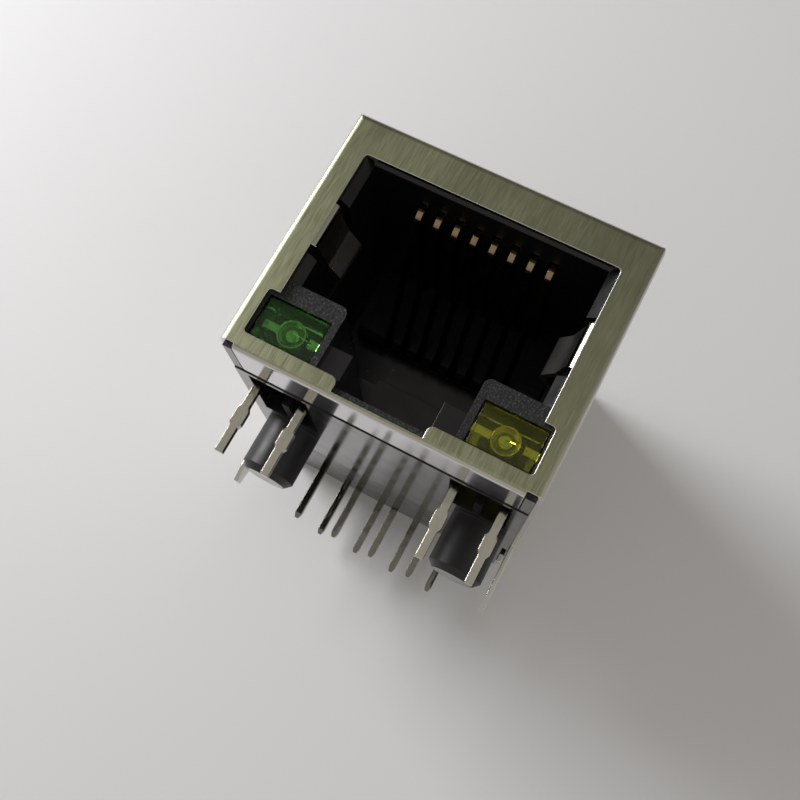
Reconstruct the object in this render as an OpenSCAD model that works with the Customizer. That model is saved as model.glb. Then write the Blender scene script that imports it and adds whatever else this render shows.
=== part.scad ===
// Shielded modular jack for a circuit board: eight contacts, two indicator lamps and
// built-in line magnetics. The plug enters along +Y, the board lies below z = 0, and the
// origin is on the board midway between the two locating pegs.

/* [Body] */
// Width across the shield's sides
body_w = 16; // [15.8:0.1:17]
// Height of the shield's top above the board
body_h = 13.45; // [13.3:0.05:14.4]
// Depth from the mating face to the rear
body_d = 21.3; // [21.1:0.1:23]
// Distance from the mating face back to the locating pegs
peg_setback = 10.8; // [10.6:0.1:11.2]

/* [Shield] */
// Thickness of the shield's sheet
sheet_t = 0.25; // [0.2:0.01:0.28]
// Outside radius of the shield's bends
bend_r = 0.4; // [0.34:0.01:0.6]
// Gap between the board and the lip folded under the face
lip_lift = 0.05; // [0.02:0.01:0.1]
// Depth of the lip under the face
lip_d = 3; // [2.6:0.1:3.2]
// Distance from the lip's end to the outside of the side plate
lip_end = 0.8; // [0.6:0.05:1]
// Height of the side plates' lower edge above the board
side_lift = 0.3; // [0.25:0.01:0.5]
// Width of the plug opening in the face
open_w = 13.14; // [12.9:0.02:13.4]
// Height of the plug opening's top above the board
open_top = 11.42; // [11.3:0.02:11.6]
// Corner radius of the cut-outs in the face
open_r = 0.2; // [0.1:0.02:0.3]
// Width across the two lamp windows
window_w = 14.26; // [14.1:0.02:14.4]
// Height of the lamp windows' top above the board
window_top = 3.35; // [3.25:0.01:3.6]
// Height of the bars below the lamp windows
bar_top = 0.98; // [0.9:0.01:1.02]
// Width of the gap between the two bars
bar_gap = 4.5; // [4.3:0.05:4.56]
// Corner radius at the bars' inner ends
bar_r = 0.3; // [0.15:0.01:0.4]
// Distance from the mating face back to the shield's board tabs
tab_setback = 13.9; // [13.6:0.1:14.4]
// Width of a board tab
tab_w = 1.2; // [0.9:0.05:1.6]
// Length of a board tab below the board
tab_len = 3.75; // [3.5:0.05:4]
// Length of the narrowed tip of a board tab
tab_tip = 0.9; // [0.5:0.05:1.2]
// Distance from the mating face to the catch window in each side plate
catch_y = 10.2; // [9.8:0.1:10.8]
// Length of a catch window
catch_w = 2.4; // [2:0.1:2.8]
// Height of a catch window
catch_h = 1.4; // [1.2:0.1:1.8]
// Height of a catch window's lower edge above the board
catch_z = 6.4; // [6:0.1:7]
// Clearance round a nub in its catch window
catch_gap = 0.1; // [0.05:0.01:0.15]

/* [Grounding springs] */
// Height of a grounding spring's lower edge above the board
spring_low = 6.25; // [6.1:0.05:6.5]
// Height of a grounding spring's strip
spring_h = 2.1; // [1.8:0.05:2.3]
// Extra height of a spring's root, shared by both ends
spring_root = 0.25; // [0.1:0.05:0.4]
// Outside radius of the bend at a spring's root
spring_r = 0.4; // [0.36:0.01:0.5]
// Slant of a spring's first leg towards the plug, in degrees
spring_slant = 13; // [10:1:15]
// Length of a spring's first leg
spring_leg = 1.6; // [1.4:0.05:1.8]
// Length of a spring's lit second leg
spring_nose = 1.05; // [0.9:0.05:1.2]
// Length of the tail that folds back beside the plug
spring_tail = 0.9; // [0.6:0.05:1.1]

/* [Housing] */
// Running gap between the shield and the housing
shell_gap = 0.03; // [0.01:0.01:0.06]
// Width of the plug cavity
cavity_w = 12.2; // [12:0.05:12.4]
// Height of the cavity's ceiling above the board
cavity_top = 11.4; // [11.3:0.02:11.5]
// Distance from the mating face to the cavity's back wall
cavity_d = 12.4; // [12.3:0.05:12.6]
// Width of the lead-in chamfer round the cavity's mouth
lead_in = 0.4; // [0.2:0.05:0.5]
// Height of the lamp housings' roof above the board
roof_top = 4.15; // [4.05:0.02:4.3]
// Width of the latch slot between the lamp housings
slot_w = 6.9; // [6.7:0.05:7]
// Width of the latch slot between the lower steps
step_w = 4.6; // [4.58:0.02:4.9]
// Height of the lower steps' top above the board
step_top = 2.35; // [2.2:0.05:2.5]
// Setback of the lower steps behind the housing's front
step_back = 0.3; // [0.1:0.05:0.5]
// Height of the latch slot's floor above the board
slot_floor = 0.63; // [0.6:0.01:0.8]
// Depth of the latch slot behind the mating face
slot_d = 8.6; // [8.4:0.1:9]
// Corner radius of the lamp housings
nose_r = 0.35; // [0.2:0.01:0.45]
// Distance from the mating face to the end of the front block
block_d = 13.9; // [13.8:0.1:14.2]
// Thickness of the rear bay's walls
bay_wall = 0.8; // [0.6:0.05:1]
// Height of a notch for a grounding spring
notch_h = 3.1; // [2.9:0.05:3.3]
// Depth of a notch for a grounding spring, from the mating face
notch_d = 5.2; // [5:0.1:5.6]
// Thickness of the wall left outside a notch for a grounding spring
notch_wall = 0.5; // [0.3:0.05:0.6]

/* [Locating pegs] */
// Distance between the two locating pegs
peg_pitch = 11.43; // [11.3:0.01:11.6]
// Diameter of a locating peg
peg_dia = 3.05; // [2.9:0.01:3.15]
// Length of a locating peg below the board
peg_len = 3.15; // [2.9:0.05:3.4]
// Height of the chamfer at a locating peg's end
peg_tip = 0.35; // [0.2:0.05:0.6]

/* [Contacts] */
// Number of contacts
contact_count = 8;
// Distance between neighbouring contacts
contact_pitch = 1.016; // [1:0.002:1.03]
// Width of a contact
contact_w = 0.31; // [0.28:0.01:0.4]
// Thickness of a contact
contact_t = 0.25; // [0.2:0.01:0.28]
// Height of a contact's upper run above the board
contact_z = 11.75; // [11.7:0.01:11.8]
// Distance from the mating face to the centre of a contact's front bend
contact_front = 3.3; // [3.1:0.05:3.6]
// Middle radius of a contact's front bend
contact_r = 0.45; // [0.4:0.01:0.5]
// Downward slant of a contact's lower run, in degrees
contact_slant = 25; // [24:0.5:26]
// Length of a contact's lower run
contact_run = 9.3; // [9:0.05:9.5]
// Width of a guide groove or comb slot
groove_w = 0.5; // [0.46:0.01:0.6]

/* [Contact insert] */
// Width of the insert that holds the contacts
insert_w = 11; // [10.6:0.1:11.4]
// Clearance round the insert
insert_gap = 0.08; // [0.04:0.01:0.12]
// Distance from the mating face to the comb's front
comb_front = 10.9; // [10.8:0.05:11.1]
// Height of the comb's lower edge above the board
comb_low = 6.85; // [6.8:0.01:6.9]
// Height of the comb's teeth
comb_h = 1.5; // [1.3:0.05:1.8]
// Depth of the comb's slots
comb_slot = 1; // [0.8:0.05:1.1]
// Distance from the mating face to the insert's rear
insert_rear = 14.6; // [14.4:0.05:14.8]
// Thickness of the insert's roof over the contacts
insert_roof = 0.45; // [0.3:0.05:0.6]

/* [Lamps] */
// Distance of a lamp's centre from the middle of the jack
lamp_x = 5.42; // [5.38:0.01:5.44]
// Height of a lamp's centre above the board
lamp_z = 2.1; // [2.08:0.01:2.14]
// Width of a lamp's lens
lens_w = 3.12; // [2.95:0.01:3.14]
// Height of a lamp's lens
lens_h = 2.1; // [1.95:0.01:2.12]
// Depth of a lamp's lens
lens_d = 3.6; // [3.4:0.05:3.8]
// Corner radius of a lamp's lens
lens_r = 0.12; // [0.05:0.01:0.2]
// Setback of a lens behind the housing's front
lens_back = 0.05; // [0.02:0.01:0.2]
// Clearance between a lens and its pocket
lens_gap = 0.04; // [0.03:0.01:0.08]
// Distance between the two leads of a lamp
lead_pitch = 2.54; // [2.5:0.01:2.56]
// Side of a lead's square section
lead_t = 0.4; // [0.36:0.01:0.45]
// Distance from the mating face to the leads
lead_setback = 4.6; // [4.5:0.05:4.8]
// Middle radius of a lead's bend
lead_r = 0.45; // [0.3:0.05:0.5]
// Length of a lead below the board
lead_len = 3.75; // [3.5:0.05:4]
// Width of the flattened stop on a lead
paddle_w = 0.62; // [0.5:0.01:0.8]
// Height of the flattened stop on a lead
paddle_h = 1.15; // [0.9:0.05:1.3]
// Distance from the board down to the top of the flattened stop
paddle_top = 1.2; // [1:0.05:1.4]
// Diameter of the reflector cup
cup_dia = 1.36; // [1.2:0.02:1.5]
// Depth of the reflector cup
cup_d = 0.6; // [0.5:0.02:0.7]
// Distance from the lens's front to the cup's rim
cup_back = 0.9; // [0.7:0.05:1.1]
// Side of the light-emitting chip
chip_w = 0.3; // [0.25:0.01:0.35]
// Thickness of the light-emitting chip
chip_t = 0.14; // [0.1:0.01:0.18]
// Thickness of the bond wire
bond_t = 0.04; // [0.03:0.01:0.06]

/* [Signal pins] */
// Distance between neighbouring signal pins across the jack
pin_pitch = 1.27; // [1.25:0.01:1.29]
// Distance between the two rows of signal pins
row_pitch = 2.54; // [2.5:0.01:2.6]
// Distance from the locating pegs to the nearer row
row_setback = 6.35; // [6.25:0.05:6.4]
// Side of a signal pin's square section
pin_t = 0.4; // [0.35:0.01:0.5]
// Length of a signal pin below the board
pin_len = 3.66; // [3.4:0.05:3.9]
// Height of a signal pin's top above its base
pin_rise = 0.5; // [0.3:0.05:0.7]
// Length of the chamfer at a signal pin's end
pin_tip = 0.3; // [0.1:0.05:0.5]

/* [Magnetics] */
// Gap between the rear bay's side walls and the base or the filter board
bay_gap = 0.11; // [0.05:0.01:0.3]
// Thickness of the base
base_h = 1.6; // [1.4:0.05:1.8]
// Gap between the board and the base
base_lift = 0.1; // [0.05:0.01:0.2]
// Gap between the housing's front block and the base
base_gap = 0.06; // [0.03:0.01:0.2]
// Distance from the mating face to the filter board's front
board_front = 15; // [14.9:0.05:15.1]
// Thickness of the filter board
board_t = 0.8; // [0.6:0.05:0.9]
// Clearance round a contact's tail in the filter board
board_gap = 0.06; // [0.03:0.01:0.1]
// Outside diameter of a choke's core
choke_dia = 3.1; // [2.9:0.05:3.2]
// Outside diameter of a transformer's core
transformer_dia = 4.1; // [3.9:0.05:4.3]
// Thickness of a choke's core
choke_t = 1.3; // [1.1:0.05:1.4]
// Thickness of a transformer's core
transformer_t = 1.9; // [1.6:0.05:2.2]
// Hole in a core, as a share of its diameter
core_hole = 0.5; // [0.45:0.01:0.55]
// Thickness of a winding's layer of wire
winding_t = 0.22; // [0.15:0.01:0.25]
// Gap between a winding and its core
winding_gap = 0.03; // [0.01:0.01:0.05]
// Arc that each half of a winding covers, in degrees
winding_arc = 140; // [120:5:150]
// Distance of a core's centre from the middle of the jack
core_x = 3.4; // [3.2:0.05:3.6]
// Clearance between stacked pieces of the magnetics
stack_gap = 0.04; // [0.02:0.01:0.08]
// Length of a terminating resistor
resistor_l = 1.6; // [1.4:0.05:1.8]
// Width of a terminating resistor
resistor_w = 0.8; // [0.7:0.05:0.9]
// Thickness of a terminating resistor
resistor_t = 0.45; // [0.35:0.05:0.5]
// Distance between neighbouring resistors
resistor_pitch = 2.6; // [2.4:0.05:2.8]
// Length of the line capacitor
capacitor_l = 4.5; // [4.2:0.1:4.8]
// Width of the line capacitor
capacitor_w = 2; // [1.8:0.05:2.2]
// Thickness of the line capacitor
capacitor_t = 0.9; // [0.7:0.05:1]

/* [Hidden] */
$fn = 32;

// How far a cut runs past the face that it opens
past = 1;
// Fine step between the pieces of one bend, in degrees
bend_step = 15;
// Inside faces of the shield
shield_in_x = body_w / 2 - sheet_t;
shield_in_z = body_h - sheet_t;
lip_top = lip_lift + sheet_t;
// Outside faces of the housing
house_x = shield_in_x - shell_gap;
house_top = shield_in_z - shell_gap;
house_front = sheet_t + shell_gap;
// The rear cover stands inside the shield's rear edge
cover_rear = body_d - 0.05;
cover_front = cover_rear - sheet_t;
cover_flap_d = 3.6;
house_rear = cover_front - shell_gap;
// Rear bay: inside faces and the step that takes the cover's flaps
bay_out_x = house_x - sheet_t - 2 * shell_gap;
bay_in_x = bay_out_x - bay_wall;
bay_top = house_top - bay_wall;
// Grounding springs: bend centre and the notch that clears them
spring_bend_x = open_w / 2 + 0.13;
spring_mid = spring_low + spring_h / 2;
notch_x = house_x - notch_wall;
// Contacts: ends of the runs and the insert round them
contact_z_low = contact_z - contact_r;
tail_end = board_front + board_t + 0.3;
groove_top = contact_z + contact_t / 2 + 0.1;
insert_top = contact_z + contact_t / 2 + insert_roof;
insert_low = comb_low + 0.35;
// Lamps
lens_front = house_front + lens_back;
lens_rear = lens_front + lens_d;
cup_front = lens_front + cup_back;
pocket_w = lens_w + 2 * lens_gap;
pocket_h = lens_h + 2 * lens_gap;
// Signal pins and magnetics
base_w = 2 * (bay_in_x - bay_gap);
board_w = base_w;
base_front = block_d + base_gap;
base_top = base_lift + base_h;
board_low = base_top + stack_gap;
pin_top = base_top + pin_rise;
base_rear = house_rear - 0.2;
board_top = insert_top;
core_y = (board_front + board_t + cover_front) / 2;
choke_z = base_top + stack_gap + choke_dia / 2 + winding_gap + winding_t;
transformer_z = choke_z + (choke_dia + transformer_dia) / 2
    + 2 * (winding_gap + winding_t) + stack_gap;

// Moves a piece drawn from the mating face so that the pegs straddle the origin
module from_face() {
    translate([0, -peg_setback, 0]) children();
}

// A box given by its low and high corners
module block(low, high) {
    translate(low) cube(high - low);
}

// The same shape on the right and on the left
module both_sides() {
    children();
    mirror([1, 0, 0]) children();
}

// Extrudes a front view, drawn in x and z, from one depth to another
module along_y(y0, y1) {
    translate([0, y1, 0]) rotate([90, 0, 0]) linear_extrude(y1 - y0) children();
}

// Extrudes a side view, drawn in y and z, across a width about one x
module along_x(x, width) {
    translate([x - width / 2, 0, 0]) rotate([90, 0, 90]) linear_extrude(width) children();
}

// A rectangle from its low to its high corner, with all corners rounded
module round_rect(low, high, r) {
    translate([low[0] + r, low[1]]) square([high[0] - low[0] - 2 * r, high[1] - low[1]]);
    translate([low[0], low[1] + r]) square([high[0] - low[0], high[1] - low[1] - 2 * r]);
    for (x = [low[0] + r, high[0] - r]) {
        for (y = [low[1] + r, high[1] - r]) {
            translate([x, y]) circle(r);
        }
    }
}

// Middle line of a bent strip: each leg is [straight length, turn in degrees, radius]
function bent(legs, at, heading, i = 0) =
    i == len(legs) ? [] :
    let (
        turn = legs[i][1],
        side = sign(turn) * legs[i][2],
        corner = at + legs[i][0] * [cos(heading), sin(heading)],
        centre = corner + side * [-sin(heading), cos(heading)],
        steps = ceil(abs(turn) / bend_step),
        arc = [for (k = [1:1:steps]) let (a = heading + turn * k / steps)
            centre - side * [-sin(a), cos(a)]],
        last = steps > 0 ? arc[steps - 1] : corner
    )
    concat([corner], arc, bent(legs, last, heading + turn, i + 1));

// Direction of a path at one of its points
function along(path, i) =
    let (a = path[max(i - 1, 0)], b = path[min(i + 1, len(path) - 1)]) (b - a) / norm(b - a);

// The path moved sideways by an offset
function beside(path, off) =
    [for (i = [0:len(path) - 1]) let (d = along(path, i)) path[i] + off * [-d[1], d[0]]];

// A strip of constant thickness about a path
module strip(path, t) {
    near = beside(path, t / 2);
    far = beside(path, -t / 2);
    polygon(concat(near, [for (i = [len(far) - 1:-1:0]) far[i]]));
}

// Box with bent edges at its face, top and bottom, as a folded sheet gives
module bent_box(half_w, low, high, front, rear, r, r_low) {
    intersection() {
        translate([0, 0, low]) linear_extrude(high - low)
            round_rect([-half_w, front], [half_w, rear + past], r);
        along_x(0, 2 * half_w + past) {
            round_rect([front, low + r_low], [rear + past, high], r);
            round_rect([front, low], [rear + past, high - r], r_low);
        }
        along_y(front, rear) round_rect([-half_w, low - past], [half_w, high], r);
    }
}

// Front view of everything cut from the shield's face
module face_cutout() {
    round_rect([-open_w / 2, window_top - past], [open_w / 2, open_top], open_r);
    round_rect([-window_w / 2, bar_top], [window_w / 2, window_top], open_r);
    translate([-bar_gap / 2, lip_top]) square([bar_gap, window_top - lip_top]);
    both_sides() {
        difference() {
            translate([bar_gap / 2, bar_top - bar_r]) square([bar_r, bar_r + open_r / 2]);
            translate([bar_gap / 2 + bar_r, bar_top - bar_r]) circle(bar_r);
        }
    }
}

// One grounding spring, folded back from the right edge of the plug opening
module grounding_spring() {
    mid_r = spring_r - sheet_t / 2;
    root = [spring_bend_x + past / 2, sheet_t / 2];
    turn = 90 - spring_slant;
    path = concat([root], bent([
        [past / 2, -turn, mid_r],
        [spring_leg, 17, 0.3],
        [spring_nose, -65, 0.3],
        [spring_tail, 0, 0]
    ], root, 180));
    translate([0, 0, spring_low]) linear_extrude(spring_h) strip(path, sheet_t);
    root_path = concat([root], bent([[past / 2, -turn, mid_r], [0.1, 0, 0]], root, 180));
    translate([0, 0, spring_low - spring_root / 2]) linear_extrude(spring_h + spring_root)
        strip(root_path, sheet_t);
}

// Board tab of the right side plate, with a narrowed tip
module board_tab() {
    tip_w = tab_w * 0.55;
    translate([shield_in_x, 0, 0]) rotate([90, 0, 90]) linear_extrude(sheet_t) polygon([
        [tab_setback - tab_w / 2, side_lift + sheet_t],
        [tab_setback - tab_w / 2, tab_tip - tab_len],
        [tab_setback - tip_w / 2, -tab_len],
        [tab_setback + tip_w / 2, -tab_len],
        [tab_setback + tab_w / 2, tab_tip - tab_len],
        [tab_setback + tab_w / 2, side_lift + sheet_t]
    ]);
}

// Folded sheet round the front, top and sides
module shield() {
    color([0.72, 0.72, 0.66]) from_face() {
        difference() {
            bent_box(body_w / 2, lip_lift, body_h, 0, body_d, bend_r, lip_top);
            bent_box(shield_in_x, lip_top, shield_in_z, sheet_t, body_d + past,
                bend_r - sheet_t, lip_lift);
            along_y(-past, sheet_t + past / 2) face_cutout();
            block([-body_w, lip_d, -past], [body_w, body_d + past, side_lift]);
            both_sides() {
                block([body_w / 2 - lip_end, -past, -past], [body_w, lip_d + past, side_lift]);
                block([shield_in_x - past / 2, catch_y, catch_z],
                    [body_w, catch_y + catch_w, catch_z + catch_h]);
            }
        }
        both_sides() {
            grounding_spring();
            board_tab();
        }
    }
}

// Plate that closes the rear, with a flap folded forward inside each side plate
module rear_cover() {
    half_w = shield_in_x - shell_gap;
    cover_top = shield_in_z - shell_gap;
    color([0.70, 0.70, 0.65]) from_face() difference() {
        translate([0, 0, side_lift]) linear_extrude(cover_top - side_lift)
            round_rect([-half_w, cover_rear - cover_flap_d], [half_w, cover_rear], bend_r);
        translate([0, 0, side_lift - past]) linear_extrude(cover_top + past) {
            round_rect([sheet_t - half_w, cover_rear - 2 * cover_flap_d],
                [half_w - sheet_t, cover_front], bend_r - sheet_t);
        }
        block([-body_w, cover_rear - cover_flap_d - past, side_lift - past],
            [body_w, cover_rear - cover_flap_d + bend_r, cover_top + past]);
    }
}

// Lead-in chamfer along one straight edge of the cavity's mouth, as a wedge to cut
module mouth_wedge(length) {
    rotate([90, 0, 90]) linear_extrude(length) polygon([
        [-past, lead_in + past],
        [-past, -past / 2],
        [lead_in, -past / 2],
        [lead_in, 0],
        [0, lead_in],
        [-past / 2, lead_in]
    ]);
}

// Everything of the cavity that the plug and its latch use
module plug_space() {
    half_w = cavity_w / 2;
    // Main cavity, then the mouth widened by the lead-in
    block([-half_w, -past, roof_top], [half_w, cavity_d, cavity_top]);
    hull() {
        block([-half_w - lead_in, house_front - 0.2, roof_top],
            [half_w + lead_in, house_front, cavity_top + lead_in]);
        block([-half_w, house_front - 0.2, roof_top],
            [half_w, house_front + lead_in, cavity_top]);
    }
    // Latch slot, wide above and narrow between the lower steps
    along_y(-past, slot_d) {
        translate([-slot_w / 2, step_top]) square([slot_w, roof_top - step_top + past]);
        translate([-step_w / 2, slot_floor]) square([step_w, step_top - slot_floor + past]);
    }
    block([-slot_w / 2, -past, bar_top], [slot_w / 2, house_front + step_back, roof_top]);
    // Rounded inner corners of the lamp housings
    both_sides() along_y(-past, cavity_d) difference() {
        translate([slot_w / 2 - past, roof_top - nose_r]) square([nose_r + past, nose_r + past]);
        translate([slot_w / 2 + nose_r, roof_top - nose_r]) circle(nose_r);
        translate([slot_w / 2 + nose_r, roof_top - nose_r]) square([past, nose_r]);
    }
    // Notches beside the grounding springs
    both_sides() block([half_w - past, -past, spring_mid - notch_h / 2],
        [notch_x, notch_d, spring_mid + notch_h / 2]);
    // Guide grooves for the contacts' upper runs
    for (i = [1:contact_count]) {
        block([contact_x(i) - groove_w / 2, contact_front - contact_r - 0.7, cavity_top - past],
            [contact_x(i) + groove_w / 2, cavity_d + past, groove_top]);
    }
}

// Pocket for the right lamp, with the well that its leads come down through
module lamp_pocket() {
    side = pocket_w / 2;
    along_y(-past, slot_d) translate([lamp_x, lamp_z])
        square([pocket_w, pocket_h], center = true);
    difference() {
        block([lamp_x - side, lip_d + 0.4, -past], [lamp_x + side, slot_d, lamp_z]);
        // Gusset that stiffens the peg's root
        block([lamp_x - 0.2, lead_setback + 1.4, -past], [lamp_x + 0.2, slot_d, lamp_z]);
    }
}

// One locating peg, chamfered at its end
module peg() {
    translate([peg_pitch / 2, peg_setback, 0]) rotate_extrude() polygon([
        [0, side_lift],
        [peg_dia / 2, side_lift],
        [peg_dia / 2, peg_tip - peg_len],
        [peg_dia / 2 - peg_tip, -peg_len],
        [0, -peg_len]
    ]);
}

// Moulded body: plug cavity, latch slot, lamp pockets, pegs and rear bay
module housing() {
    color([0.09, 0.09, 0.10]) from_face() {
        difference() {
            union() {
                bent_box(house_x, lip_top + shell_gap, house_top, house_front, block_d - past,
                    bend_r - sheet_t + shell_gap, shell_gap);
                block([-house_x, lip_d + 0.1, 0], [house_x, block_d, side_lift + past]);
                both_sides() block([body_w / 2 - lip_end + 0.05, house_front, lip_lift],
                    [house_x, lip_d + 0.2, side_lift + past]);
                both_sides() block([bay_in_x, block_d - past, 0],
                    [bay_out_x, house_rear, house_top]);
                block([-bay_out_x, block_d - past, bay_top],
                    [bay_out_x, house_rear, house_top]);
                both_sides() peg();
                // Nubs that hold the shield
                both_sides() block([house_x - past, catch_y + catch_gap, catch_z + catch_gap],
                    [house_x + sheet_t, catch_y + catch_w - catch_gap,
                        catch_z + catch_h - catch_gap]);
            }
            plug_space();
            both_sides() lamp_pocket();
            // Window in the back wall for the contact insert
            block([-insert_w / 2 - insert_gap, cavity_d - past, insert_low - insert_gap],
                [insert_w / 2 + insert_gap, block_d + past, insert_top + insert_gap]);
        }
    }
}

// Distance of contact i from the middle of the jack
function contact_x(i) = (i - (contact_count + 1) / 2) * contact_pitch;

// Middle line of a contact in y and z: tail, upper run, front bend and lower run
function contact_path() =
    let (start = [tail_end, contact_z])
    concat([start], bent([
        [tail_end - contact_front, 180 - contact_slant, contact_r],
        [contact_run, 0, 0]
    ], start, 180));

// Contact i, one bent gold-plated strip
module contact(i) {
    color([0.85, 0.66, 0.30]) from_face()
        along_x(contact_x(i), contact_w) strip(contact_path(), contact_t);
}

// Moulded block that grips the contacts and combs their free ends
module contact_insert() {
    half_w = insert_w / 2;
    color([0.10, 0.10, 0.11]) from_face() difference() {
        union() {
            block([-half_w, comb_front + 1, insert_low], [half_w, insert_rear, insert_top]);
            along_x(0, insert_w) polygon([
                [comb_front + 0.3, comb_low],
                [cavity_d - 0.05, comb_low],
                [cavity_d - 0.05, comb_low + comb_h],
                [comb_front, comb_low + comb_h],
                [comb_front, comb_low + 0.3]
            ]);
        }
        for (i = [1:contact_count]) {
            block([contact_x(i) - groove_w / 2, comb_front - past, comb_low - past],
                [contact_x(i) + groove_w / 2, comb_front + comb_slot, comb_low + comb_h + past]);
            block([contact_x(i) - groove_w / 2, comb_front - past, contact_z - groove_w],
                [contact_x(i) + groove_w / 2, cavity_d + 0.2, insert_top + past]);
            block([contact_x(i) - contact_w / 2, cavity_d, contact_z - contact_t / 2],
                [contact_x(i) + contact_w / 2, insert_rear + past, contact_z + contact_t / 2]);
        }
    }
}

// Side view of a lead: out of the lens, round the bend and down through the board
function lead_path(start) =
    concat([[start, lamp_z]], bent([
        [lead_setback - start - lead_r, -90, lead_r],
        [lamp_z - lead_r + lead_len, 0, 0]
    ], [start, lamp_z], 0));

// A lead about x = 0 that begins at one depth inside the lens
module lead(start) {
    half = paddle_w / 2;
    along_x(0, lead_t) strip(lead_path(start), lead_t);
    along_y(lead_setback - lead_t / 2, lead_setback + lead_t / 2) polygon([
        [-lead_t / 2, -paddle_top],
        [-half, -paddle_top - 0.2],
        [-half, -paddle_top - paddle_h + 0.2],
        [-lead_t / 2, -paddle_top - paddle_h],
        [lead_t / 2, -paddle_top - paddle_h],
        [half, -paddle_top - paddle_h + 0.2],
        [half, -paddle_top - 0.2],
        [lead_t / 2, -paddle_top]
    ]);
}

// Lead that carries the reflector cup, about the lamp's centre
module cup_lead() {
    arm_y = cup_front + cup_d - 0.3;
    difference() {
        union() {
            translate([-lead_pitch / 2, 0, 0]) lead(arm_y);
            block([-lead_pitch / 2 - lead_t / 2, arm_y, lamp_z - lead_t / 2],
                [0, cup_front + cup_d, lamp_z + lead_t / 2]);
            translate([0, cup_front, lamp_z]) rotate([-90, 0, 0])
                cylinder(h = cup_d, d = cup_dia);
        }
        translate([0, cup_front, lamp_z]) rotate([-90, 0, 0]) cup_hollow();
    }
}

// Conical hollow of the cup, opening towards its rim at z = 0
module cup_hollow() {
    depth = cup_d - 0.2;
    rotate_extrude() polygon([
        [0, -past],
        [cup_dia / 2 - 0.08, -past],
        [cup_dia / 2 - 0.08, 0],
        [chip_w, depth],
        [0, depth]
    ]);
}

// Lead that ends in a post beside the cup
module post_lead() {
    translate([lead_pitch / 2, 0, 0]) lead(cup_front);
    block([lead_pitch / 2 - lead_t, cup_front, lamp_z - lead_t / 2],
        [lead_pitch / 2, cup_front + lead_t, lamp_z + lead_t / 2]);
}

// Chip at the bottom of the cup
module chip() {
    floor_y = cup_front + cup_d - 0.2;
    block([-chip_w / 2, floor_y - chip_t, lamp_z - chip_w / 2],
        [chip_w / 2, floor_y, lamp_z + chip_w / 2]);
}

// Fine wire that leaves the chip forwards and loops over to the post
module bond_wire() {
    chip_y = cup_front + cup_d - 0.2 - chip_t;
    span = lead_pitch / 2 - lead_t * 0.7;
    translate([0, 0, lamp_z - bond_t / 2]) linear_extrude(bond_t) strip([
        [0, chip_y],
        [span * 0.05, cup_front - 0.05],
        [span * 0.2, cup_front - 0.2],
        [span * 0.45, cup_front - 0.28],
        [span * 0.7, cup_front - 0.2],
        [span * 0.92, cup_front - 0.08],
        [span, cup_front]
    ], bond_t);
}

// Cast lens round the lead tops, the chip and the bond wire
module lens() {
    difference() {
        along_y(lens_front, lens_rear) translate([0, lamp_z])
            round_rect([-lens_w / 2, -lens_h / 2], [lens_w / 2, lens_h / 2], lens_r);
        cup_lead();
        post_lead();
        chip();
        bond_wire();
    }
}

// Puts a lamp's piece at the left (side -1) or the right (side 1)
module at_lamp(side) {
    from_face() translate([side * lamp_x, 0, 0]) children();
}

module green_lens() {
    color([0.20, 0.45, 0.22]) at_lamp(-1) lens();
}
module green_cup_lead() {
    color([0.80, 0.80, 0.78]) at_lamp(-1) cup_lead();
}
module green_post_lead() {
    color([0.80, 0.80, 0.78]) at_lamp(-1) post_lead();
}
module green_chip() {
    color([0.50, 0.80, 0.40]) at_lamp(-1) chip();
}
module green_bond_wire() {
    color([0.90, 0.75, 0.35]) at_lamp(-1) bond_wire();
}
module yellow_lens() {
    color([0.50, 0.52, 0.12]) at_lamp(1) lens();
}
module yellow_cup_lead() {
    color([0.80, 0.80, 0.78]) at_lamp(1) cup_lead();
}
module yellow_post_lead() {
    color([0.80, 0.80, 0.78]) at_lamp(1) post_lead();
}
module yellow_chip() {
    color([0.85, 0.80, 0.35]) at_lamp(1) chip();
}
module yellow_bond_wire() {
    color([0.90, 0.75, 0.35]) at_lamp(1) bond_wire();
}

// Place of signal pin i: odd pins stand in the nearer row
function pin_x(i) = (i - (contact_count + 1) / 2) * pin_pitch;
function pin_y(i) = peg_setback + row_setback + (i % 2 == 0 ? row_pitch : 0);

// Signal pin i, a square wire with a chamfered end
module signal_pin(i) {
    tip = pin_t * 0.25;
    color([0.78, 0.74, 0.62]) from_face() translate([pin_x(i), pin_y(i), 0]) intersection() {
        block([-pin_t / 2, -pin_t / 2, -pin_len], [pin_t / 2, pin_t / 2, pin_top]);
        along_y(-pin_t, pin_t) pin_outline(tip);
        along_x(0, 2 * pin_t) pin_outline(tip);
    }
}

// Side view of a signal pin
module pin_outline(tip) {
    polygon([
        [-pin_t / 2, pin_top],
        [-pin_t / 2, pin_tip - pin_len],
        [-tip, -pin_len],
        [tip, -pin_len],
        [pin_t / 2, pin_tip - pin_len],
        [pin_t / 2, pin_top]
    ]);
}

// Base that holds the signal pins and carries the magnetics
module pin_base() {
    color([0.11, 0.11, 0.12]) from_face() difference() {
        block([-base_w / 2, base_front, base_lift], [base_w / 2, base_rear, base_top]);
        for (i = [1:contact_count]) {
            translate([pin_x(i), pin_y(i), 0])
                block([-pin_t / 2, -pin_t / 2, -past], [pin_t / 2, pin_t / 2, base_top + past]);
        }
    }
}

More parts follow.
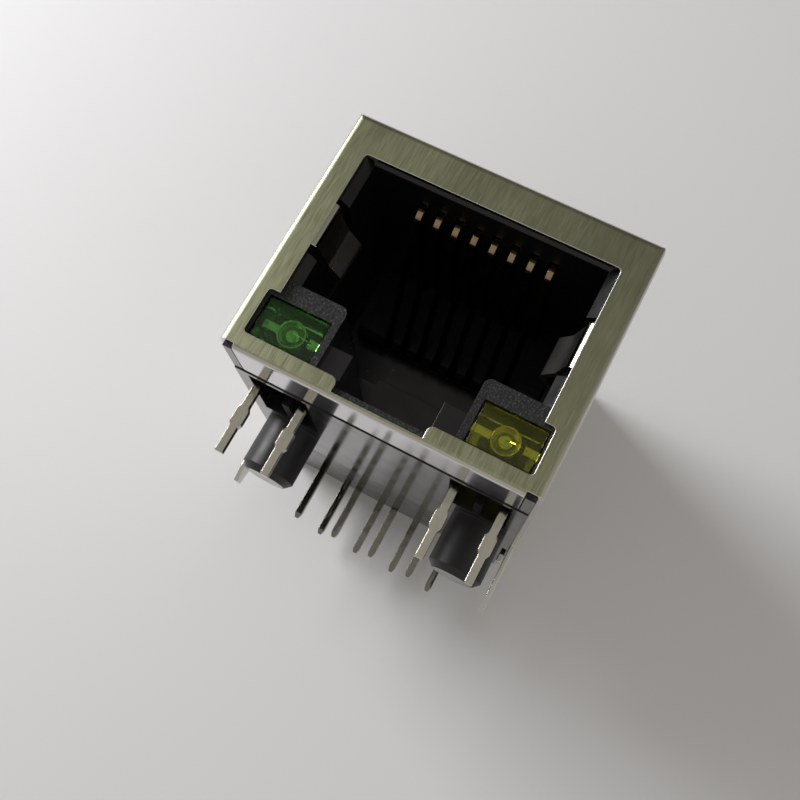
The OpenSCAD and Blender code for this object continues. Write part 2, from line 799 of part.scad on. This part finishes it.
// Upright board that joins the contacts to the magnetics
module filter_board() {
    hole_w = contact_w + 2 * board_gap;
    hole_t = contact_t + 2 * board_gap;
    color([0.13, 0.36, 0.20]) from_face() difference() {
        block([-board_w / 2, board_front, board_low],
            [board_w / 2, board_front + board_t, board_top]);
        for (i = [1:contact_count]) {
            block([contact_x(i) - hole_w / 2, board_front - past, contact_z - hole_t / 2],
                [contact_x(i) + hole_w / 2, board_front + board_t + past,
                    contact_z + hole_t / 2]);
        }
    }
}

// Ring core about the y axis, centred at the origin
module core(dia, t) {
    rotate([90, 0, 0]) difference() {
        cylinder(h = t, d = dia, center = true);
        cylinder(h = t + past, d = dia * core_hole, center = true);
    }
}

// Wire wound on a ring core: two halves, each an arc of a sleeve round the ring
module winding(dia, t) {
    inner = dia * core_hole / 2;
    outer = dia / 2;
    layer = winding_t + winding_gap;
    for (half = [0, 180]) {
        rotate([90, 0, 0]) rotate([0, 0, half - winding_arc / 2])
            rotate_extrude(angle = winding_arc) difference() {
                translate([inner - layer, -t / 2 - layer])
                    square([outer - inner + 2 * layer, t + 2 * layer]);
                translate([inner - winding_gap, -t / 2 - winding_gap])
                    square([outer - inner + 2 * winding_gap, t + 2 * winding_gap]);
            }
    }
}

// Puts a piece of the magnetics at the left (side -1) or the right (side 1)
module at_core(side, z) {
    from_face() translate([side * core_x, core_y, z]) children();
}

module transformer_core(side) {
    color([0.25, 0.24, 0.23]) at_core(side, transformer_z) core(transformer_dia, transformer_t);
}
module transformer_winding(side) {
    color([0.62, 0.30, 0.16]) at_core(side, transformer_z)
        winding(transformer_dia, transformer_t);
}
module choke_core(side) {
    color([0.25, 0.24, 0.23]) at_core(side, choke_z) core(choke_dia, choke_t);
}
module choke_winding(side) {
    color([0.62, 0.30, 0.16]) at_core(side, choke_z) winding(choke_dia, choke_t);
}

// Terminating resistor i, soldered to the back of the filter board
module resistor(i) {
    x = (i - 2.5) * resistor_pitch;
    z = contact_z - 1.2;
    rear = board_front + board_t;
    color([0.12, 0.12, 0.13]) from_face()
        block([x - resistor_l / 2, rear, z - resistor_w / 2],
            [x + resistor_l / 2, rear + resistor_t, z + resistor_w / 2]);
}

// Line capacitor, soldered to the back of the filter board
module line_capacitor() {
    rear = board_front + board_t;
    color([0.62, 0.50, 0.36]) from_face()
        block([-capacitor_l / 2, rear, choke_z - capacitor_w / 2],
            [capacitor_l / 2, rear + capacitor_t, choke_z + capacitor_w / 2]);
}

shield();
rear_cover();
housing();
contact_insert();
contact(1);  // contact_1
contact(2);  // contact_2
contact(3);  // contact_3
contact(4);  // contact_4
contact(5);  // contact_5
contact(6);  // contact_6
contact(7);  // contact_7
contact(8);  // contact_8
green_lens();
green_cup_lead();
green_post_lead();
green_chip();
green_bond_wire();
yellow_lens();
yellow_cup_lead();
yellow_post_lead();
yellow_chip();
yellow_bond_wire();
signal_pin(1);  // signal_pin_1
signal_pin(2);  // signal_pin_2
signal_pin(3);  // signal_pin_3
signal_pin(4);  // signal_pin_4
signal_pin(5);  // signal_pin_5
signal_pin(6);  // signal_pin_6
signal_pin(7);  // signal_pin_7
signal_pin(8);  // signal_pin_8
pin_base();
filter_board();
transformer_core(-1);  // transformer_core_left
transformer_core(1);  // transformer_core_right
transformer_winding(-1);  // transformer_winding_left
transformer_winding(1);  // transformer_winding_right
choke_core(-1);  // choke_core_left
choke_core(1);  // choke_core_right
choke_winding(-1);  // choke_winding_left
choke_winding(1);  // choke_winding_right
resistor(1);  // resistor_1
resistor(2);  // resistor_2
resistor(3);  // resistor_3
resistor(4);  // resistor_4
line_capacitor();
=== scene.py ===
"""Shielded modular jack for a circuit board: studio view from the front and below."""

import math

import bmesh
import bpy
from mathutils import Matrix, Vector


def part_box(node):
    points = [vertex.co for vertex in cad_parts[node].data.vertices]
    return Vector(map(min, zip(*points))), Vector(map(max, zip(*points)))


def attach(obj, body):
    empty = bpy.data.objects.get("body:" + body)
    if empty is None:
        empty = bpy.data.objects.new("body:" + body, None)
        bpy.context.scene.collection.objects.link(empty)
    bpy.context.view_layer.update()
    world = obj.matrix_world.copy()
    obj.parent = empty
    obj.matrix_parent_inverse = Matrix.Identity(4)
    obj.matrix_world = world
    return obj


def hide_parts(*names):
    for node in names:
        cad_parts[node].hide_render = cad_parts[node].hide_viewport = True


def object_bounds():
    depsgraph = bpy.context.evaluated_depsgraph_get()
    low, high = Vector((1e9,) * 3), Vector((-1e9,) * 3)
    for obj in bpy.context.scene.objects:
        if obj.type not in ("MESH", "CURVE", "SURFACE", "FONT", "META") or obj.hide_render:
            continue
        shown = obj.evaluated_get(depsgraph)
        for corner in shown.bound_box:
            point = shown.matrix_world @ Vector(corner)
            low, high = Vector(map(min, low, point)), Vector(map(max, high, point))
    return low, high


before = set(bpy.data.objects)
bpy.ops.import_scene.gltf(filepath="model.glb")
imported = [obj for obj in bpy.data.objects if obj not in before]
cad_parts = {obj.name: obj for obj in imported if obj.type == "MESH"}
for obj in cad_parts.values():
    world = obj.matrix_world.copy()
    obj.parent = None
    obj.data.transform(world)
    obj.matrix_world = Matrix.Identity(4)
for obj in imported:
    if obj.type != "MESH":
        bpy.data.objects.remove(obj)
size_at_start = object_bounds()
MM = 0.001

# Shield: one stamping of nickel-plated sheet, folded round the front, top and sides. The face
# shows the rolling grain of its strip, along Z, in an olive tone darker than the other sides,
# which is painted shade. The springs inside are more satin and carry painted shade, their colour
# mixed halfway to grey. The sheared edges are painted pale: raw metal, with a painted highlight.


def surface(name, **constants):
    """A new material with one Principled shader; returns the material, its tree and the shader."""
    material = bpy.data.materials.new(name)
    material.use_nodes = True
    tree = material.node_tree
    shader = tree.nodes["Principled BSDF"]
    for socket, value in constants.items():
        shader.inputs[socket.replace("_", " ")].default_value = value
    return material, tree, shader


def add(tree, kind, sockets=None, **settings):
    """A new node with its settings, its constants and its incoming links."""
    made = tree.nodes.new("ShaderNode" + kind)
    for key, value in settings.items():
        setattr(made, key, value)
    for key, value in (sockets or {}).items():
        if isinstance(value, bpy.types.NodeSocket):
            tree.links.new(value, made.inputs[key])
        else:
            made.inputs[key].default_value = value
    return made


def dress(names, material):
    """Gives CAD nodes one material over all their faces."""
    for name in names:
        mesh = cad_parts[name].data
        mesh.materials.clear()
        mesh.materials.append(material)


def grain(tree, scale, stretch=(1, 1, 1), detail=3.0):
    """Noise in the object's own coordinates, stretched along its axes."""
    place = add(tree, "TexCoord").outputs["Object"]
    spread = add(tree, "Mapping", {"Vector": place, "Scale": [scale * s for s in stretch]})
    return add(tree, "TexNoise", {"Vector": spread.outputs[0], "Scale": 1.0, "Detail": detail})


def tint(tree, factor, low, high):
    """Colour that runs from low to high with a factor."""
    mix = add(tree, "Mix", {"Factor": factor}, data_type="RGBA")
    mix.inputs[6].default_value = (*low, 1)
    mix.inputs[7].default_value = (*high, 1)
    return mix.outputs[2]


def ramp(tree, value, from_low, from_high, low=0.0, high=1.0):
    """Value mapped from one range to another, with soft ends."""
    return add(tree, "MapRange", {"Value": value, "From Min": from_low, "From Max": from_high,
                                  "To Min": low, "To Max": high},
               interpolation_type="SMOOTHSTEP").outputs[0]


def between(tree, noise, low, high):
    """The usual range of a noise, 0.3 to 0.7, mapped to a finish's own range."""
    return ramp(tree, noise.outputs[0], 0.3, 0.7, low, high)


def product(tree, a, b):
    """Two masks multiplied."""
    return add(tree, "Math", {0: a, 1: b}, operation="MULTIPLY").outputs[0]


def parts(tree, socket):
    """X, Y and Z of a vector."""
    split = add(tree, "SeparateXYZ", {0: socket})
    return split.outputs[0], split.outputs[1], split.outputs[2]


face_plane = size_at_start[0].y
spring_start = face_plane + 0.3 * MM
inside_walls = 7 * MM
spring_low = 5.9 * MM
sheared_edge = 0.06 * MM
grain_depth = 0.008 * MM
shield, tree, shader = surface("shield_nickel", Metallic=1.0)
px, py, pz = parts(tree, add(tree, "TexCoord").outputs["Object"])
_, ny, nz = parts(tree, add(tree, "NewGeometry").outputs["Normal"])
strokes = grain(tree, 1000, (26.0, 26.0, 0.9), 3.0)
patches = grain(tree, 260, (1.0, 1.0, 0.5), 2.0)
face = ramp(tree, ny, -0.75, -0.97)
face = product(tree, face, ramp(tree, py, face_plane + 0.25 * MM, face_plane + 0.05 * MM))
under = ramp(tree, nz, -0.7, -0.95)
off_middle = add(tree, "Math", {0: px}, operation="ABSOLUTE").outputs[0]
spring = ramp(tree, py, spring_start, spring_start + 0.1 * MM)
spring = product(tree, spring, ramp(tree, off_middle, inside_walls, inside_walls - 0.1 * MM))
spring = product(tree, spring, ramp(tree, pz, spring_low, spring_low + 0.2 * MM))
lower = ramp(tree, pz, 6 * MM, 1 * MM, 0.18, 1.0)
visible = add(tree, "Math", {0: strokes.outputs[0], 1: 0.5}, operation="SUBTRACT").outputs[0]
visible = add(tree, "Math", {0: visible, 1: lower, 2: 0.5}, operation="MULTIPLY_ADD").outputs[0]
# Face colour: the grain's streaks in an olive tone darker than the other sides, painted shade.
face_grain_and_shade = tint(tree, ramp(tree, visible, 0.3, 0.7), (0.30, 0.31, 0.19), (0.44, 0.445, 0.30))
bright = tint(tree, patches.outputs[0], (0.58, 0.56, 0.50), (0.70, 0.68, 0.61))
# Painted shade: the springs inside the opening have their colour mixed halfway to mid grey.
in_shade = product(tree, spring, 0.5)
bright = add(tree, "Mix", {"Factor": in_shade, 6: bright}, data_type="RGBA").outputs[2]
pale = tint(tree, under, (0.6, 0.58, 0.5), (0.70, 0.68, 0.70))
rounded = add(tree, "Bevel", {"Radius": sheared_edge}, samples=6)
flat = add(tree, "NewGeometry").outputs["True Normal"]
turned = add(tree, "VectorMath", {0: rounded.outputs[0], 1: flat}, operation="DOT_PRODUCT")
edge = ramp(tree, turned.outputs["Value"], 0.992, 0.93)
sides = add(tree, "Mix", {"Factor": under, 6: bright, 7: pale}, data_type="RGBA").outputs[2]
blend = add(tree, "Mix", {"Factor": face, 6: sides, 7: face_grain_and_shade}, data_type="RGBA").outputs[2]
# Sheared edges painted pale: partly raw metal, partly a painted highlight along them.
pale_edge_and_highlight = add(tree, "Mix", {"Factor": edge, 6: blend}, data_type="RGBA")
pale_edge_and_highlight.inputs[7].default_value = (0.86, 0.85, 0.76, 1)
tree.links.new(pale_edge_and_highlight.outputs[2], shader.inputs["Base Color"])
brushed = product(tree, face, between(tree, strokes, 0.20, 0.32))
plated = between(tree, patches, 0.10, 0.17)
dull = add(tree, "Math", {0: brushed, 1: plated}, operation="ADD")
satin = add(tree, "Math", {0: spring, 1: 0.14, 2: dull.outputs[0]}, operation="MULTIPLY_ADD")
tree.links.new(satin.outputs[0], shader.inputs["Roughness"])
depth = product(tree, face, visible)
rough = add(tree, "Bump", {"Strength": 0.35, "Distance": grain_depth, "Height": depth,
                           "Normal": rounded.outputs[0]})
tree.links.new(rough.outputs[0], shader.inputs["Normal"])
dress(["shield"], shield)

# Rear cover: a plain plate of the same sheet. It has no brushed grain, only the strip's faint
# rolling lines across it and soft handling marks.
cover, tree, shader = surface("cover_nickel", Metallic=1.0)
lines = grain(tree, 1000, (0.3, 8.0, 8.0), 3.0)
tree.links.new(tint(tree, lines.outputs[0], (0.52, 0.50, 0.42), (0.66, 0.64, 0.56)),
               shader.inputs["Base Color"])
tree.links.new(between(tree, grain(tree, 300), 0.2, 0.33),
               shader.inputs["Roughness"])
dress(["rear_cover"], cover)

# Housing and pin base: black moulded plastic. The lamp housings' fronts carry the mould's
# spark-eroded grain, the walls are smooth, the underside is glossy and the pegs are duller.
# Moulded edges are slightly round.
lamp_housing_top = 4.35 * MM
front_end = -10.2 * MM
standing_base = 0.2 * MM
moulded_edge = 0.05 * MM
moulding, tree, shader = surface("housing_black", IOR=1.5)
_, py, pz = parts(tree, add(tree, "TexCoord").outputs["Object"])
_, ny, nz = parts(tree, add(tree, "NewGeometry").outputs["Normal"])
sparkle = add(tree, "TexVoronoi", {"Vector": add(tree, "TexCoord").outputs["Object"],
                                   "Scale": 6500.0})
fine = grain(tree, 14000, detail=2.0)
low_down = ramp(tree, pz, lamp_housing_top, lamp_housing_top - 0.15 * MM)
eroded = product(tree, ramp(tree, ny, -0.6, -0.9), low_down)
eroded = product(tree, eroded, ramp(tree, py, front_end, front_end - 0.2 * MM))
flow = grain(tree, 500, (1, 1, 1), 4.0)
dots = grain(tree, 12000, detail=2.0)
flecks = product(tree, eroded, ramp(tree, dots.outputs[0], 0.56, 0.68))
speckled = add(tree, "Mix", {"Factor": flecks, 6: tint(tree, eroded, (0.005, 0.005, 0.0055),
                                                       (0.012, 0.013, 0.013))}, data_type="RGBA")
speckled.inputs[7].default_value = (0.060, 0.063, 0.063, 1)
tree.links.new(speckled.outputs[2], shader.inputs["Base Color"])
at_board = ramp(tree, pz, standing_base, 0.0)
below = product(tree, at_board, ramp(tree, nz, -0.7, -0.95))
smooth = between(tree, flow, 0.22, 0.34)
smooth = add(tree, "Math", {0: below, 1: -0.1, 2: smooth}, operation="MULTIPLY_ADD").outputs[0]
pegs = product(tree, at_board, ramp(tree, nz, -0.95, -0.7))
smooth = add(tree, "Math", {0: pegs, 1: 0.16, 2: smooth}, operation="MULTIPLY_ADD").outputs[0]
tree.links.new(ramp(tree, below, 0, 1, 0.5, 1.0), shader.inputs["Specular IOR Level"])
tree.links.new(product(tree, below, 0.4), shader.inputs["Coat Weight"])
shader.inputs["Coat Roughness"].default_value = 0.12
tree.links.new(add(tree, "Math", {0: smooth, 1: product(tree, eroded, fine.outputs[0])},
                   operation="ADD").outputs[0], shader.inputs["Roughness"])
edges = add(tree, "Bevel", {"Radius": moulded_edge}, samples=4)
ripple = add(tree, "Bump", {"Strength": 0.1, "Distance": 0.006 * MM, "Height": flow.outputs[0],
                            "Normal": edges.outputs[0]})
pits = add(tree, "Bump", {"Strength": 0.9, "Distance": 0.03 * MM,
                          "Height": product(tree, eroded, sparkle.outputs["Distance"]),
                          "Normal": ripple.outputs[0]})
tree.links.new(pits.outputs[0], shader.inputs["Normal"])
dress(["housing", "pin_base"], moulding)

# Contact insert: the same black plastic from another tool, duller, deep in the cavity.
dull_black, tree, shader = surface("insert_black", IOR=1.35)
cloudy = tint(tree, grain(tree, 900).outputs[0], (0.002, 0.002, 0.0022), (0.004, 0.004, 0.0043))
tree.links.new(cloudy, shader.inputs["Base Color"])
tree.links.new(between(tree, grain(tree, 6000), 0.5, 0.65),
               shader.inputs["Roughness"])
tree.links.new(add(tree, "Bevel", {"Radius": moulded_edge}, samples=4).outputs[0],
               shader.inputs["Normal"])
dress(["contact_insert"], dull_black)

# Contacts: eight bent strips, gold over nickel. The plating is bright at the bend that wipes
# the plug, with faint wear along the strip. Deeper in, the gold ends and the colour turns near
# black, which is painted shade in the cavity.
bright_end = -7.95 * MM
gold, tree, shader = surface("contact_gold", Metallic=1.0)
wear = grain(tree, 1800, (1, 0.3, 1), 3.0)
_, py, _ = parts(tree, add(tree, "TexCoord").outputs["Object"])
# Painted shade: deeper in the cavity the contacts are mixed to near black.
deep = ramp(tree, py, bright_end, bright_end + 0.3 * MM)
plated = tint(tree, wear.outputs[0], (0.32, 0.23, 0.13), (0.46, 0.34, 0.22))
gold_then_deep_shade = add(tree, "Mix", {"Factor": deep, 6: plated}, data_type="RGBA")
gold_then_deep_shade.inputs[7].default_value = (0.07, 0.055, 0.035, 1)
tree.links.new(gold_then_deep_shade.outputs[2], shader.inputs["Base Color"])
tree.links.new(between(tree, wear, 0.22, 0.34), shader.inputs["Roughness"])
tree.links.new(add(tree, "Bevel", {"Radius": 0.04 * MM}, samples=4).outputs[0],
               shader.inputs["Normal"])
dress([f"contact_{i}" for i in range(1, 9)], gold)

# Signal pins and lamp leads: square wire under bright tin, with drawn lines along it and
# slightly round corners. The rows at the rear are mixed towards a darker colour.
rear_rows_start = 4 * MM
tin, tree, shader = surface("tin_plate", Metallic=1.0)
drawn = grain(tree, 2500, (1, 1, 0.08), 3.0)
fresh = tint(tree, drawn.outputs[0], (0.44, 0.42, 0.34), (0.66, 0.64, 0.56))
_, py, _ = parts(tree, add(tree, "TexCoord").outputs["Object"])
rear_rows = ramp(tree, py, rear_rows_start, rear_rows_start + 1 * MM)
# The rear rows are given a darker colour.
rear_rows_darker = add(tree, "Mix", {"Factor": rear_rows, 6: fresh}, data_type="RGBA")
rear_rows_darker.inputs[7].default_value = (0.24, 0.235, 0.20, 1)
tree.links.new(rear_rows_darker.outputs[2], shader.inputs["Base Color"])
tree.links.new(between(tree, drawn, 0.08, 0.18), shader.inputs["Roughness"])
dented = grain(tree, 1500, (1, 1, 0.5), 2.0)
worn_edges = add(tree, "Bevel", {"Radius": 0.07 * MM}, samples=4)
tree.links.new(add(tree, "Bump", {"Strength": 0.5, "Distance": 0.08 * MM,
                                  "Height": dented.outputs[0],
                                  "Normal": worn_edges.outputs[0]}).outputs[0],
               shader.inputs["Normal"])
dress([f"signal_pin_{i}" for i in range(1, 9)], tin)
dress([f"{c}_{k}_lead" for c in ("green", "yellow") for k in ("cup", "post")], tin)

# Lamps, green on the left and yellow on the right: a cast block of tinted resin round each
# cup, chip, bond wire and post. Unlit, it is dark, and only the metal inside catches the light.
soft_edge = 0.12 * MM


def cast_lens(name, node, material):
    """Lens cast round the lead tops: a solid block in its CAD node's box, with soft edges."""
    low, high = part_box(node)
    mesh = bpy.data.meshes.new(name)
    form = bmesh.new()
    bmesh.ops.create_cube(form, size=1.0)
    for vert in form.verts:
        for axis in range(3):
            vert.co[axis] = high[axis] if vert.co[axis] > 0 else low[axis]
    bmesh.ops.bevel(form, geom=form.edges[:], offset=soft_edge, segments=4, profile=0.5,
                    affect="EDGES")
    bmesh.ops.recalc_face_normals(form, faces=form.faces)
    form.to_mesh(mesh)
    form.free()
    for polygon in mesh.polygons:
        polygon.use_smooth = True
    lens = bpy.data.objects.new(name, mesh)
    bpy.context.scene.collection.objects.link(lens)
    mesh.materials.append(material)
    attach(lens, "root")
    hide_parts(node)
    return lens


for colour, thin, thick in (("green", (0.16, 0.62, 0.12), (0.26, 0.78, 0.18)),
                            ("yellow", (0.62, 0.66, 0.04), (0.76, 0.80, 0.08))):
    resin, tree, shader = surface(colour + "_resin", IOR=1.4, Transmission_Weight=0.97)
    haze = grain(tree, 1500)
    tree.links.new(tint(tree, haze.outputs[0], thin, thick), shader.inputs["Base Color"])
    tree.links.new(between(tree, haze, 0.07, 0.12), shader.inputs["Roughness"])
    cast_lens(colour + "_lamp_lens", colour + "_lens", resin)

# Chips and bond wires: a glossy chip in each cup and a gold wire looped to the post.
chip, tree, shader = surface("chip_face", Roughness=0.15)
tree.links.new(tint(tree, grain(tree, 9000).outputs[0], (0.45, 0.60, 0.25), (0.75, 0.85, 0.45)),
               shader.inputs["Base Color"])
dress(["green_chip", "yellow_chip"], chip)
bond, tree, shader = surface("bond_gold", Metallic=1.0, Roughness=0.15)
tree.links.new(tint(tree, grain(tree, 9000).outputs[0], (0.80, 0.60, 0.25), (0.95, 0.78, 0.45)),
               shader.inputs["Base Color"])
dress(["green_bond_wire", "yellow_bond_wire"], bond)

# Filter board: green solder mask over the laminate's weave, with a soft gloss.
board, tree, shader = surface("solder_mask", IOR=1.5)
place = add(tree, "TexCoord").outputs["Object"]
thread_scale = 420.0
warp = add(tree, "TexWave", {"Vector": place, "Scale": thread_scale, "Distortion": 0.6},
           bands_direction="X")
weft = add(tree, "TexWave", {"Vector": place, "Scale": thread_scale, "Distortion": 0.6},
           bands_direction="Z")
weave = product(tree, warp.outputs["Fac"], weft.outputs["Fac"])
tree.links.new(tint(tree, weave, (0.010, 0.075, 0.030), (0.018, 0.120, 0.050)),
               shader.inputs["Base Color"])
tree.links.new(ramp(tree, weave, 0, 1, 0.22, 0.34), shader.inputs["Roughness"])
cloth = add(tree, "Bump", {"Strength": 0.2, "Distance": 0.01 * MM, "Height": weave})
tree.links.new(cloth.outputs[0], shader.inputs["Normal"])
dress(["filter_board"], board)

# Ring cores: sintered ferrite, dark and matt, with fine pores.
ferrite, tree, shader = surface("ferrite", Roughness=0.7)
pores = grain(tree, 12000, detail=4.0)
tree.links.new(tint(tree, pores.outputs[0], (0.012, 0.011, 0.011), (0.045, 0.042, 0.040)),
               shader.inputs["Base Color"])
tree.links.new(add(tree, "Bump", {"Strength": 0.4, "Distance": 0.01 * MM,
                                  "Height": pores.outputs[0]}).outputs[0], shader.inputs["Normal"])
dress([f"{k}_core_{s}" for k in ("transformer", "choke") for s in ("left", "right")], ferrite)

# Windings: enamelled copper laid turn by turn round each ring. The turns fan out from the
# ring's centre, so the stripes follow the angle round it. The dark part of each stripe is
# painted shade in the groove between turns.
turns = 44
for kind in ("transformer", "choke"):
    for side in ("left", "right"):
        low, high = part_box(f"{kind}_winding_{side}")
        middle = (low + high) / 2
        enamel, tree, shader = surface(f"{kind}_{side}_wire", IOR=1.5, Roughness=0.25)
        x, _, z = parts(tree, add(tree, "TexCoord").outputs["Object"])
        across = add(tree, "Math", {0: x, 1: middle.x}, operation="SUBTRACT").outputs[0]
        up = add(tree, "Math", {0: z, 1: middle.z}, operation="SUBTRACT").outputs[0]
        angle = add(tree, "Math", {0: up, 1: across}, operation="ARCTAN2").outputs[0]
        coils = add(tree, "Math", {0: product(tree, angle, turns)}, operation="SINE").outputs[0]
        turn_relief_and_shade = ramp(tree, coils, -1, 1)
        # Painted shade: the grooves between turns are coloured dark; the same stripes drive the
        # bump.
        tree.links.new(tint(tree, turn_relief_and_shade, (0.09, 0.02, 0.008), (0.55, 0.20, 0.07)),
                       shader.inputs["Base Color"])
        tree.links.new(add(tree, "Bump", {"Strength": 1.0, "Distance": 0.05 * MM,
                                          "Height": turn_relief_and_shade}).outputs[0], shader.inputs["Normal"])
        dress([f"{kind}_winding_{side}"], enamel)

# Resistors and capacitor: black glaze with tinned ends, and brown fired ceramic with the same.
# They are soldered to the filter board.
tinned_from = 0.72
for names, body in (([f"resistor_{i}" for i in range(1, 5)], (0.012, 0.012, 0.014)),
                    (["line_capacitor"], (0.26, 0.15, 0.07))):
    for name in names:
        low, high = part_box(name)
        chip_body, tree, shader = surface(name + "_glaze", Roughness=0.25)
        x, _, _ = parts(tree, add(tree, "TexCoord").outputs["Object"])
        off = add(tree, "Math", {0: x, 1: (low.x + high.x) / 2}, operation="SUBTRACT").outputs[0]
        reach = add(tree, "Math", {0: off}, operation="ABSOLUTE").outputs[0]
        half = (high.x - low.x) / 2
        cap = ramp(tree, reach, half * tinned_from, half * (tinned_from + 0.04))
        tree.links.new(tint(tree, cap, body, (0.70, 0.68, 0.63)), shader.inputs["Base Color"])
        tree.links.new(cap, shader.inputs["Metallic"])
        tree.links.new(between(tree, grain(tree, 4000), 0.2, 0.4),
                       shader.inputs["Roughness"])
        dress([name], chip_body)

# Stage: the jack stands on its rear face in the main view, so a pale sheet lies behind it,
# with a hole where the rear cover covers it. A second sheet lies under the pins for the
# ordinary views, and lights nothing.


def plain_sheet(name, form, colour, seen_by_rays):
    """A pale stage sheet that shows only from the side it faces."""
    mesh = bpy.data.meshes.new(name)
    form.to_mesh(mesh)
    form.free()
    sheet = bpy.data.objects.new(name, mesh)
    bpy.context.scene.collection.objects.link(sheet)
    material, tree, shader = surface(name + "_paper", Roughness=0.7)
    fibres = grain(tree, 60, detail=3.0)
    lighter = tuple(min(1.0, c * 1.02) for c in colour)
    tree.links.new(tint(tree, fibres.outputs[0], colour, lighter), shader.inputs["Base Color"])
    clear = add(tree, "BsdfTransparent")
    back = add(tree, "NewGeometry").outputs["Backfacing"]
    both = add(tree, "MixShader", {0: back, 1: shader.outputs[0], 2: clear.outputs[0]})
    tree.links.new(both.outputs[0], tree.nodes["Material Output"].inputs["Surface"])
    mesh.materials.append(material)
    sheet.visible_shadow = seen_by_rays
    sheet.visible_diffuse = seen_by_rays
    sheet.visible_glossy = seen_by_rays
    sheet.visible_transmission = seen_by_rays


low, high = size_at_start
wide = 0.6
hole_foot = 0.3 * MM
corners = ((-wide, -wide), (wide, -wide), (wide, wide), (-wide, wide))
hole = ((low.x, hole_foot), (high.x, hole_foot), (high.x, high.z), (low.x, high.z))
behind = bmesh.new()
ring = [behind.verts.new((x, high.y, z)) for x, z in corners]
inner = [behind.verts.new((x, high.y, z)) for x, z in hole]
for k in range(4):
    behind.faces.new((ring[k], ring[(k + 1) % 4], inner[(k + 1) % 4], inner[k]))
plain_sheet("sheet_behind", behind, (0.80, 0.80, 0.805), True)
below = bmesh.new()
below.faces.new([below.verts.new((x, y, low.z)) for x, y in corners])
plain_sheet("sheet_below", below, (0.74, 0.74, 0.74), False)

# Light: one soft key from the left and slightly above, and a weak fill from the right. The
# room is brighter at the horizon than overhead, which shades the metal from bottom to top.


def lamp(name, place, target, width, brightness, colour):
    """A soft square lamp of the given brightness, turned towards a point."""
    data = bpy.data.lights.new(name, "AREA")
    data.shape = "SQUARE"
    data.size = width
    data.energy = brightness * math.pi * width * width
    data.color = colour
    light = bpy.data.objects.new(name, data)
    bpy.context.scene.collection.objects.link(light)
    light.location = place
    light.rotation_euler = (Vector(place) - Vector(target)).to_track_quat("Z", "Y").to_euler()


centre = (low + high) / 2
lamp("key", place=(-0.15, -0.085, 0.045), target=centre, width=0.08, brightness=12.5,
     colour=(0.98, 0.985, 1.0))
lamp("fill", place=(0.16, -0.14, -0.02), target=centre, width=0.12, brightness=0.45,
     colour=(0.95, 0.97, 1.0))
world = bpy.data.worlds.new("room")
bpy.context.scene.world = world
world.use_nodes = True
tree = world.node_tree
at_horizon, overhead = 0.44, 0.11
_, _, height = parts(tree, add(tree, "TexCoord").outputs["Generated"])
level = ramp(tree, height, 0.1, 0.6, at_horizon, overhead)
tree.links.new(level, tree.nodes["Background"].inputs["Strength"])
tree.nodes["Background"].inputs["Color"].default_value = (1.0, 0.955, 0.90, 1)

# Camera: below and to the right of the mating face, rolled so that the jack leans.
place = Vector((0.007063, -0.04788, -0.00845))
heading, rise, lean = 9.871, 14.608, 29.066
camera = bpy.data.objects.new("camera", bpy.data.cameras.new("camera"))
bpy.context.scene.collection.objects.link(camera)
camera.data.lens = 40.48
camera.data.clip_start = 0.001
turn = Matrix.Rotation(math.radians(heading), 4, "Z")
tilt = Matrix.Rotation(math.radians(90 + rise), 4, "X")
roll = Matrix.Rotation(math.radians(lean), 4, "Z")
camera.matrix_world = Matrix.Translation(place) @ turn @ tilt @ roll
bpy.context.scene.camera = camera
bpy.context.scene.view_settings.view_transform = "Standard"
